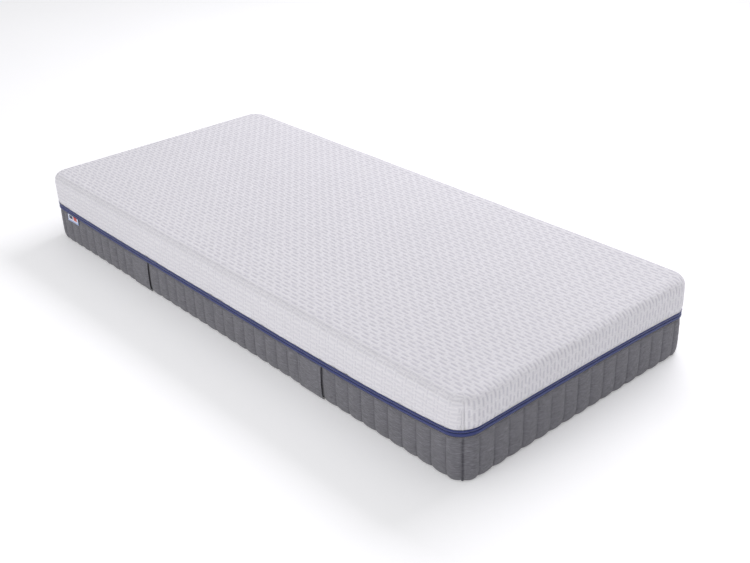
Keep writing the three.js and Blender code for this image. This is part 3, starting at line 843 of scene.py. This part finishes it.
def cover_ring(edge, radial, wrap, rim_lift, step, lift_share):
    """One ring of the cover below its flat top: the points, and their places on the knit."""
    inset, z, arc, up = step
    wrap_u, wrap_v, end_share = wrap
    x, y = edge[:, 0], edge[:, 1]
    base = edge[:, :2] + radial * (TOP_EDGE_RADIUS - inset)
    wrapped = smooth_step(0, TOP_EDGE_RADIUS, arc)
    u = x + np.sign(x) * arc * end_share + wrapped * (wrap_u - x)
    v = y + np.sign(y) * arc * (1 - end_share) + wrapped * (wrap_v - y)
    on_side = wrapped * (1 - end_share)
    sway = COVER_SWAY * waves(u + v, (0.47, 0.29, 0.19), seed=5) * min(1.0, arc / 0.05)
    relief = knit_relief(u, v, on_side) + sway + rim_lift * lift_share
    pinched = corner_pinch(base[:, 0], base[:, 1], z)
    face = relief - pinched + cover_channel_wave(base[:, 0], base[:, 1], z) - KNIT_BELOW_TOP * up - 0.0002
    out = base + radial * (face * math.sqrt(1 - up * up))[:, None]
    return np.column_stack([out, z + face * up]), np.column_stack([u, v, on_side])


def make_upper_cover():
    """The white knit: a flat top in relief, a rounded edge, the sides, and a hem that turns in under them."""
    x, y = cover_plan()
    rim = plan_edge(*x.shape)
    radial = edge_frame(x.ravel()[rim], y.ravel()[rim])
    height = HEIGHT - KNIT_BELOW_TOP + knit_relief(x, y) + undulation(x, y)
    flat = np.stack([x.ravel(), y.ravel(), height.ravel()], -1)
    edge = flat[rim]
    rim_lift = edge[:, 2] - HEIGHT + KNIT_BELOW_TOP - knit_relief(edge[:, 0], edge[:, 1])
    wrap = corner_wrap(edge[:, 0], edge[:, 1], radial)
    places = [np.column_stack([x.ravel(), y.ravel(), np.zeros(x.size)])]
    rings = []
    for number, step in enumerate(cover_drop(), 1):
        lift_share = math.exp(-number / 2) if number <= RIM_FADE_RINGS else 0.0
        ring, place = cover_ring(edge, radial, wrap, rim_lift, step, lift_share)
        rings.append(ring)
        places.append(place)
    hem = rings[-1]
    for draw_in, drop in HEM_FOLD:
        rings.append(np.column_stack([hem[:, :2] - radial * draw_in, hem[:, 2] - drop]))
        places.append(places[-1])
    count, start = len(rim), len(flat)
    top_faces = grid_faces(*x.shape)
    ring_numbers = start + np.arange(count)
    first = np.stack([rim, np.roll(rim, -1), np.roll(ring_numbers, -1), ring_numbers], -1)
    skirt = grid_faces(len(rings), count, closed=True) + start
    faces = np.concatenate([top_faces, first, skirt])[:, ::-1]
    mesh = mesh_of("upper_cover_knit", np.concatenate([flat, *rings]), faces)
    knit_place = mesh.attributes.new("knit_place", "FLOAT_VECTOR", "POINT")
    knit_place.data.foreach_set("vector", np.concatenate(places).astype(np.float32).ravel())
    return piece("upper_cover_knit", mesh, "cover_knit", ["upper_cover"], "upper_cover")


RIB_SECTION = (
    (-0.0030, 0.0), (-0.0016, 0.0014), (-0.0007, 0.0022), (0.0, 0.0016), (0.0007, 0.0022), (0.0016, 0.0014),
    (0.0030, 0.0),
)
RIB_RIPPLE = 0.0003
RIB_STITCH_OFFSET = 0.0032
RIB_STITCH_LENGTH = 0.003


def cover_rib(top):
    """A sewn rib up the middle of a corner, as (points, faces)."""
    z = np.linspace(COVER_BOTTOM + 0.001, top + 0.012, 36)
    fade = smooth_step(0, 0.12, (z[-1] - z) / (z[-1] - z[0]))
    ripple = RIB_RIPPLE * np.sin(2 * math.pi * z / 0.006)
    rows = []
    for across, rise in RIB_SECTION:
        raised = rise + ripple * (rise > 0.001)
        out = CORNER_RADIUS - COVER_PINCH_DEPTH - 0.0004 + raised * fade
        rows.append(np.stack([np.full_like(z, across), -out, z], -1))
    return np.concatenate(rows), grid_faces(len(RIB_SECTION), len(z))


def cover_rib_stitches(top):
    """Two upright rows of stitches beside a rib."""
    z = np.arange(COVER_BOTTOM + 0.004, top + 0.006, 0.0042)
    out = CORNER_RADIUS - COVER_PINCH_DEPTH + 0.0010
    lines = []
    for across in (-RIB_STITCH_OFFSET, RIB_STITCH_OFFSET):
        at = np.stack([np.full_like(z, across), np.full_like(z, -out), z], -1)
        lines.append(stitches(at, (0, 0, 1), (0, -1, 0), RIB_STITCH_LENGTH))
    return merged(lines)


def make_cover_seams():
    """Sewn ribs at the upper cover's corners, with their stitches. Gives back the ribs."""
    ribs = []
    for corner in CORNERS:
        name = corner[0]
        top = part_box(f"cover_seam_{name}")[1].z
        ribs.append(piece(
            f"cover_seam_rib_{name}", at_corner(cover_rib(top), corner), "cover_seam",
            [f"cover_seam_{name}"], "upper_cover",
        ))
        piece(
            f"cover_seam_stitches_{name}", at_corner(cover_rib_stitches(top), corner), "white_thread",
            body="upper_cover",
        )
    return ribs


def make_cover_hem_stitches():
    shape = stitch_hoop(0.0006, COVER_BOTTOM + 0.0042, 0.0052)
    return piece("cover_hem_stitches", shape, "white_thread", body="upper_cover")


# ---------------------------------------------------------------- zip
def outline_hoop(profile, spacing, wobble):
    """A closed hoop round the mattress, through a closed profile of (drawn in, height)."""
    columns = []
    for side in SIDES:
        steps = round(side["whole"] / spacing)
        s = np.linspace(-side["whole"] / 2, side["whole"] / 2, steps + 1)[:-1]
        scallop = wobble * np.cos(2 * math.pi * (s / side["pitch"] + side["channels"] / 2))
        ring = [side_points(side, s, inset - scallop, z) for inset, z in profile]
        columns.append(np.stack(ring, 1))
    points = np.concatenate(columns)
    count, around = points.shape[:2]
    near = np.arange(count)[:, None] * around + np.arange(around)
    ahead = np.roll(near, -1, axis=0)
    faces = np.stack([near, ahead, np.roll(ahead, -1, axis=1), np.roll(near, -1, axis=1)], -1)
    return points.reshape(-1, 3), faces.reshape(-1, 4)


LIP_PROFILE = (
    (0.0046, 0.0), (0.0030, 0.04), (0.0021, 0.2), (0.0019, 0.5), (0.0022, 0.8), (0.0034, 0.97), (0.0046, 1.0),
)  # drawn in, share of the tape's height
LIP_STITCH_FROM_EDGE = 0.0012
TOOTH_PITCH = 0.0024
TOOTH_WIDTH = 0.0019


def make_zip_tapes():
    """Two padded lips of woven tape that meet over the zip's teeth."""
    for name, (low, high), body, thread_at in (
        ("lower", LOWER_TAPE, "mattress_body", LOWER_TAPE[0] + LIP_STITCH_FROM_EDGE),
        ("upper", UPPER_TAPE, "upper_cover", UPPER_TAPE[1] - LIP_STITCH_FROM_EDGE),
    ):
        profile = [(inset, low + (high - low) * share) for inset, share in LIP_PROFILE]
        lip = outline_hoop(profile, 0.0085, 0.0003)
        piece(f"zip_lip_{name}", lip, "zip_tape", [f"zip_tape_{name}"], body)
        threads = stitch_hoop(0.0021, thread_at, 0.0048)
        piece(f"zip_lip_stitches_{name}", threads, "navy_thread", body=body)


def make_zip_coils():
    """Wound teeth along both edges of the zip."""
    for name, body in (("lower", "mattress_body"), ("upper", "upper_cover")):
        low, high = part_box(f"zip_coil_{name}")
        middle, tall = (low.z + high.z) / 2, high.z - low.z
        inset = HALF_WIDTH - high.y + 0.0013
        parts = []
        for side in SIDES:
            s = np.arange(-side["whole"] / 2 + 0.0006, side["whole"] / 2, TOOTH_PITCH)
            at, out = facing(side, s, inset, middle)
            parts.append(stitches(at, (0, 0, 1), out, tall * 0.98, TOOTH_WIDTH))
        piece(f"zip_teeth_{name}", merged(parts), "zip_coil", [f"zip_coil_{name}"], body)


def make_zip_metal():
    soft_copy("zip_slider", "zip_slider_cast", "zip_metal", 0.0003, body="zip_slider")
    soft_copy("zip_pull", "zip_pull_cast", "zip_metal", 0.00025, body="zip_pull")
    soft_copy("zip_end_patch", "zip_end_patch_cloth", "zip_tape", 0.0004)


# ---------------------------------------------------------------- border
def handle_bays(side):
    """Runs of s that the handles take up, as (first line, last line)."""
    if not side["handles"]:
        return []
    first, last = FIRST_HANDLE_CHANNEL, FIRST_HANDLE_CHANNEL + HANDLE_CHANNELS
    other = side["channels"] - last, side["channels"] - first
    return [(first, last), other]


CHANNEL_STATIONS = (0.0, 0.035, 0.085, 0.16, 0.27, 0.40, 0.5, 0.60, 0.73, 0.84, 0.915, 0.965)
CHANNEL_PLUMPNESS = (0.86, 1.06)
CHANNEL_LEAN = (-0.05, 0.05)
CHANNEL_ROUNDNESS = 0.52  # less makes the channels squarer
BORDER_BOTTOM = 0.0004
BORDER_SCALLOP = 0.0030  # how far the quilting lines lift the lower edge
PUCKER_DEPTH = 0.0007
CREASE_DEPTH = 0.00035
TOP_ROLL = 0.0035


def border_channels(side, seed):
    """Where the upright columns of a border's grid stand: along the side, and in their channel."""
    channels = side["channels"]
    t = np.concatenate([(np.arange(channels)[:, None] + np.array(CHANNEL_STATIONS)).ravel(), [channels]])
    channel = np.minimum(t.astype(int), channels - 1)
    vary = np.random.default_rng(seed)
    plump = vary.uniform(*CHANNEL_PLUMPNESS, channels)[channel]
    lean = vary.uniform(*CHANNEL_LEAN, channels)[channel]
    in_bay = np.zeros_like(t, bool)
    for first, last in handle_bays(side):
        in_bay |= (t >= first) & (t <= last)
    s = -side["whole"] / 2 + t * side["pitch"]
    return s, (t - np.floor(t))[:, None], plump[:, None], lean[:, None], in_bay[:, None]


def border_face(side, seed):
    """The border's outer face as a grid of points, column by column, and where the columns stand."""
    s, within, plump, lean, in_bay = border_channels(side, seed)
    top = BORDER_TOP - 0.0006
    share_up = np.concatenate([np.linspace(0, 0.5, 11), np.linspace(0.5, 1, 15)[1:]])
    S, Z = np.meshgrid(s, BORDER_BOTTOM + (top - BORDER_BOTTOM) * share_up, indexing="ij")
    across = within + lean * np.sin(math.pi * within) * np.sin(Z / 0.05)
    rounded = np.sin(math.pi * np.clip(across, 0, 1)) ** CHANNEL_ROUNDNESS
    seam_pull = 1 - np.exp(-(top - Z) / 0.007) * 0.8
    floor_pull = 1 - np.exp(-Z / 0.012) * 0.55
    crown = CHANNEL_CROWN * plump * rounded * seam_pull * floor_pull
    pucker = np.exp(-(top - Z) / 0.010) * waves(S, (0.011, 0.0083, 0.017), seed) * PUCKER_DEPTH
    crease = waves(S * 0.6 + Z * 1.9, (0.031, 0.047), seed + 1) * CREASE_DEPTH * rounded
    sunk = np.where(in_bay, BAY_DEPTH + SEAM_CLEARANCE, CHANNEL_CROWN - crown - pucker - crease)
    roll = TOP_ROLL * smooth_step(top - 0.006, top, Z)
    scallop = BORDER_SCALLOP * (1 - rounded) * smooth_step(0.035, 0.0, Z)
    return side_points(side, S, BORDER_SET_BACK + tuck(Z) + sunk + roll, Z + scallop), s


def quilting_lines(side):
    """Upright stitches along the valleys between the channels, but not across the handles' bays."""
    heights = np.arange(0.006, BORDER_TOP - 0.006, 0.0046)
    lines = []
    for line in range(1, side["channels"]):
        if any(first < line < last for first, last in handle_bays(side)):
            continue
        s = -side["whole"] / 2 + line * side["pitch"]
        lines.append(upright_stitches(
            side, s, heights, lambda z: BORDER_SET_BACK + tuck(z) + CHANNEL_CROWN - SEAM_CLEARANCE,
        ))
    return merged(lines)


def make_border(side, seed):
    """One quilted border panel: plump upright channels, flat bays for the handles, tucked under below."""
    name = side["name"]
    face, s = border_face(side, seed)
    turned_in = [
        side_points(side, s, inset, height) for inset, height in (
            (TUCK_DEPTH + BORDER_KNIT_BACK, 0.0030),
            (TUCK_DEPTH + BORDER_KNIT_BACK, 0.0006),
            (0.0075, BORDER_TOP),
            (BORDER_KNIT_BACK, BORDER_TOP - 0.0008),
            (BORDER_KNIT_BACK, 0.100),
        )
    ]
    rows = np.concatenate([np.stack(turned_in[:2], 1), face, np.stack(turned_in[2:], 1)], 1)
    shape = rows.reshape(-1, 3), grid_faces(*rows.shape[:2])
    quilt = piece(f"border_quilt_{name}", shape, "border_knit", [f"border_{name}"])
    piece(f"border_quilting_{name}", quilting_lines(side), "grey_thread")


def make_border_top_stitches():
    """Beige stitches where the border is sewn to the zip."""
    shape = stitch_hoop(BORDER_SET_BACK + 0.0016, BORDER_TOP - 0.0028, 0.0050)
    piece("border_top_stitches", shape, "beige_thread")


WELT_SECTION = (
    (-0.0034, -0.0062), (-0.0026, -0.0016), (-0.0013, 0.0004), (-0.0003, -0.0016), (0.0003, -0.0016),
    (0.0013, 0.0004), (0.0026, -0.0016), (0.0034, -0.0062),
)
WELT_RIPPLE = 0.00025


def make_corner_welts():
    """The sewn edges between border panels: two turned-in folds with a valley between them."""
    z = np.linspace(0.0006, BORDER_TOP - 0.0004, 40)
    near_top = smooth_step(BORDER_TOP - 0.008, BORDER_TOP, z)
    inset = BORDER_SET_BACK + 0.0018 + tuck(z) + 0.0016 * near_top
    ripple = WELT_RIPPLE * np.sin(2 * math.pi * z / 0.007)
    rows = [
        np.stack([np.full_like(z, across), -(CORNER_RADIUS - inset + rise + ripple), z], -1)
        for across, rise in WELT_SECTION
    ]
    shape = np.concatenate(rows), grid_faces(len(WELT_SECTION), len(z))
    for corner in CORNERS:
        name = corner[0]
        piece(f"border_welt_fold_{name}", at_corner(shape, corner), "border_welt", [f"border_welt_{name}"])


def make_waddings():
    for side in SIDES:
        name = side["name"]
        soft_copy(f"border_wadding_{name}", f"wadding_{name}", "wadding", 0.001, 2)


# ---------------------------------------------------------------- handles and label
HANDLE_SEWN = 0.0015
HANDLE_REACH = 0.0046
HANDLE_SPREAD = 0.0026
HANDLE_END_FLARE = 0.0020
HANDLE_FLATNESS = 6
HANDLE_CLOTH = 0.0025
HANDLE_HEM_AT = 0.86  # as a share of half the strap's width
HANDLE_HEM_DEPTH = 0.0007
HANDLE_CROWN = 0.0009
LABEL_CURL = 0.0012


def handle_back(z):
    """How far in a strap's back lies at height z: on its bay at both ends, and bowed off it between."""
    up = np.clip((z - HANDLE_SEWN) / (BORDER_TOP - 2 * HANDLE_SEWN), 0, 1)
    bow = HANDLE_REACH * np.sin(math.pi * up) ** (1 / HANDLE_FLATNESS)
    return BORDER_SET_BACK + tuck(z) + BAY_DEPTH - SEAM_CLEARANCE - bow


def strap_shape(side, middle, half, seed):
    """A strap handle: a plain band with a line of hem near each edge, as (points, faces)."""
    across = np.concatenate([[-1, -0.985, -0.93], np.linspace(-0.88, 0.88, 15), [0.93, 0.985, 1]])
    bow_from, bow_to = HANDLE_SEWN + 1e-4, BORDER_TOP - HANDLE_SEWN - 1e-4
    turn_share = (1 - np.cos(np.linspace(0, math.pi, 30))) / 2
    z = np.concatenate([[0.0006], bow_from + (bow_to - bow_from) * turn_share, [BORDER_TOP - 0.0008]])
    A, Z = np.meshgrid(across, z, indexing="ij")
    inner = handle_back(Z)
    hem_line = np.exp(-(((np.abs(A) - HANDLE_HEM_AT) / 0.03) ** 2)) * HANDLE_HEM_DEPTH
    crown = HANDLE_CROWN * (1 - A**2) + 0.0005 * waves(A * half + Z, (0.061, 0.043), seed) - hem_line
    edge_round = 0.5 * smooth_step(0.93, 1.0, np.abs(A))
    faded = smooth_step(0.0, 0.03, Z) * smooth_step(BORDER_TOP, BORDER_TOP - 0.022, Z)
    outer = inner - HANDLE_CLOTH * (1 - edge_round) - crown * faded
    inside = inner - HANDLE_CLOTH * edge_round / 2
    flare = HANDLE_END_FLARE * (1 - np.sin(math.pi * np.clip(Z / BORDER_TOP, 0, 1)) ** 0.7)
    S = middle + A * (half + HANDLE_SPREAD + flare)
    return two_faced(side_points(side, S, outer, Z), side_points(side, S, inside, Z))


def strap_stitches(side, middle, half):
    """A line of stitches along each hem of a strap, with their far ends dug into the cloth."""
    heights = np.arange(0.005, BORDER_TOP - 0.004, 0.0046)
    return merged([
        upright_stitches(
            side, middle + edge * half, heights, lambda z: handle_back(z) - HANDLE_CLOTH - 1e-4, 2e-4, 1e-4,
        )
        for edge in (-HANDLE_HEM_AT, HANDLE_HEM_AT)
    ])


def make_handles():
    for side in SIDES:
        name = side["name"]
        for number, (first, last) in enumerate(handle_bays(side), 1):
            low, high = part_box(f"handle_{name}_{number}")
            half = (high.x - low.x) / 2
            middle = -side["whole"] / 2 + (first + last) / 2 * side["pitch"]
            strap = piece(
                f"handle_strap_{name}_{number}", strap_shape(side, middle, half, 11 + number),
                "handle_cloth", [f"handle_{name}_{number}"],
            )
            stitching = piece(
                f"handle_stitches_{name}_{number}", strap_stitches(side, middle, half),
                "grey_thread",
            )


def make_label():
    """A small cloth label sewn into the seam under the zip, slightly curled."""
    low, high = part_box("side_label")
    X, Z = np.meshgrid(np.linspace(low.x, high.x, 29), np.linspace(high.z - 0.0002, low.z, 13), indexing="ij")
    down = (high.z - Z) / (high.z - low.z)
    curl = LABEL_CURL * down**2 * np.cos(2 * math.pi * (X - low.x) / (high.x - low.x) * 0.8)
    face = low.y - curl - 0.0002
    points, faces = two_faced(np.stack([X, face, Z], -1), np.stack([X, face + high.y - low.y, Z], -1))
    shape = points, faces[:, ::-1]
    label = piece("sewn_label", shape, "label_cloth", ["side_label"], "side_label")


# ---------------------------------------------------------------- inside and underneath
def make_foams():
    for foam, bevel, segments in (("memory", 0.003, 3), ("transition", 0.002, 3), ("support", 0.0015, 2)):
        name = f"{foam}_foam"
        soft_copy(name, f"{name}_block", name, bevel, segments)
    soft_copy(
        "upper_cover_lining", "cover_lining_fleece", "lining_fleece", 0.002, 2, "upper_cover", True,
    )


def make_base():
    soft_copy("base_binding", "base_bound_edge", "border_welt", 0.001)
    soft_copy("base_cloth", "base_fabric", "base_cloth", 0.0008, 2)


def make_whole_cover():
    """The upper cover with its corner seams and hem stitches."""
    cover = make_upper_cover()
    sewn_on = [*make_cover_seams(), make_cover_hem_stitches()]


make_whole_cover()
make_zip_tapes()
make_zip_coils()
make_zip_metal()
for number, side in enumerate(SIDES):
    make_border(side, 20 + number)
make_border_top_stitches()
make_corner_welts()
make_waddings()
make_handles()
make_label()
make_foams()
make_base()


# ---------------------------------------------------------------- floor, light and camera
FLOOR = 40  # half its side
FLOOR_GLOW = 0.2


def make_floor():
    corners = [(-FLOOR, -FLOOR, 0), (FLOOR, -FLOOR, 0), (FLOOR, FLOOR, 0), (-FLOOR, FLOOR, 0)]
    mesh = mesh_of("floor", corners, [(0, 1, 2, 3)])
    floor = bpy.data.objects.new("floor", mesh)
    bpy.context.scene.collection.objects.link(floor)
    made, tree, shader = new_material("floor_paint", 0.7)
    cloud = node(tree, "ShaderNodeTexNoise", {"Vector": object_place(tree), "Scale": 1.5}).outputs[0]
    paint(tree, shader, mixed(tree, cloud, rgb(250, 250, 251), rgb(246, 246, 247)))
    shader.inputs["Emission Color"].default_value = (1, 1, 1, 1)
    shader.inputs["Emission Strength"].default_value = FLOOR_GLOW
    floor.data.materials.append(made)
    floor.location.z = -0.0005


def make_light(name, place, aim, size, power, colour):
    lamp = bpy.data.lights.new(name, "AREA")
    lamp.shape = "RECTANGLE"
    lamp.size, lamp.size_y = size
    lamp.energy = power
    lamp.color = colour
    holder = bpy.data.objects.new(name, lamp)
    holder.location = place
    holder.rotation_euler = (Vector(aim) - Vector(place)).to_track_quat("-Z", "Y").to_euler()
    bpy.context.scene.collection.objects.link(holder)


def make_lights():
    bpy.context.scene.view_settings.view_transform = "Standard"
    world = bpy.data.worlds.new("studio")
    world.use_nodes = True
    back = world.node_tree.nodes["Background"]
    back.inputs[0].default_value = (0.985, 0.985, 1.0, 1.0)
    back.inputs[1].default_value = 0.6
    bpy.context.scene.world = world
    make_light("behind", (-0.3, 2.9, 3.0), (0, 0, 0.2), (3.4, 1.2), 98, (0.97, 0.955, 1.0))
    make_light("front", (0.5, -3.8, 1.5), (0.3, -0.4, 0.1), (2.0, 1.4), 27, (1.0, 1.0, 0.985))


CAMERA_AZIMUTH = math.radians(49.15)
CAMERA_ELEVATION = math.radians(27.65)
CAMERA_ROLL = math.radians(-1.945)
CAMERA_DISTANCE = 3.2423
CAMERA_TARGET = Vector((0.2442, -0.0449, 0.12))
CAMERA_LENS = 52.56


def make_camera():
    azimuth, elevation = CAMERA_AZIMUTH, CAMERA_ELEVATION
    backward = Vector((
        math.sin(azimuth) * math.cos(elevation),
        -math.cos(azimuth) * math.cos(elevation),
        math.sin(elevation),
    ))
    right = (-backward).cross(Vector((0, 0, 1))).normalized()
    upward = right.cross(-backward)
    cos, sin = math.cos(CAMERA_ROLL), math.sin(CAMERA_ROLL)
    axis_x = cos * right + sin * upward
    axis_y = -sin * right + cos * upward
    seen = bpy.data.cameras.new("camera")
    seen.lens = CAMERA_LENS
    seen.sensor_width = 36
    camera = bpy.data.objects.new("camera", seen)
    camera.matrix_world = Matrix.Translation(CAMERA_TARGET + backward * CAMERA_DISTANCE) @ Matrix((
        (axis_x.x, axis_y.x, backward.x, 0),
        (axis_x.y, axis_y.y, backward.y, 0),
        (axis_x.z, axis_y.z, backward.z, 0),
        (0, 0, 0, 1),
    ))
    bpy.context.scene.collection.objects.link(camera)
    bpy.context.scene.camera = camera


make_floor()
make_lights()
make_camera()
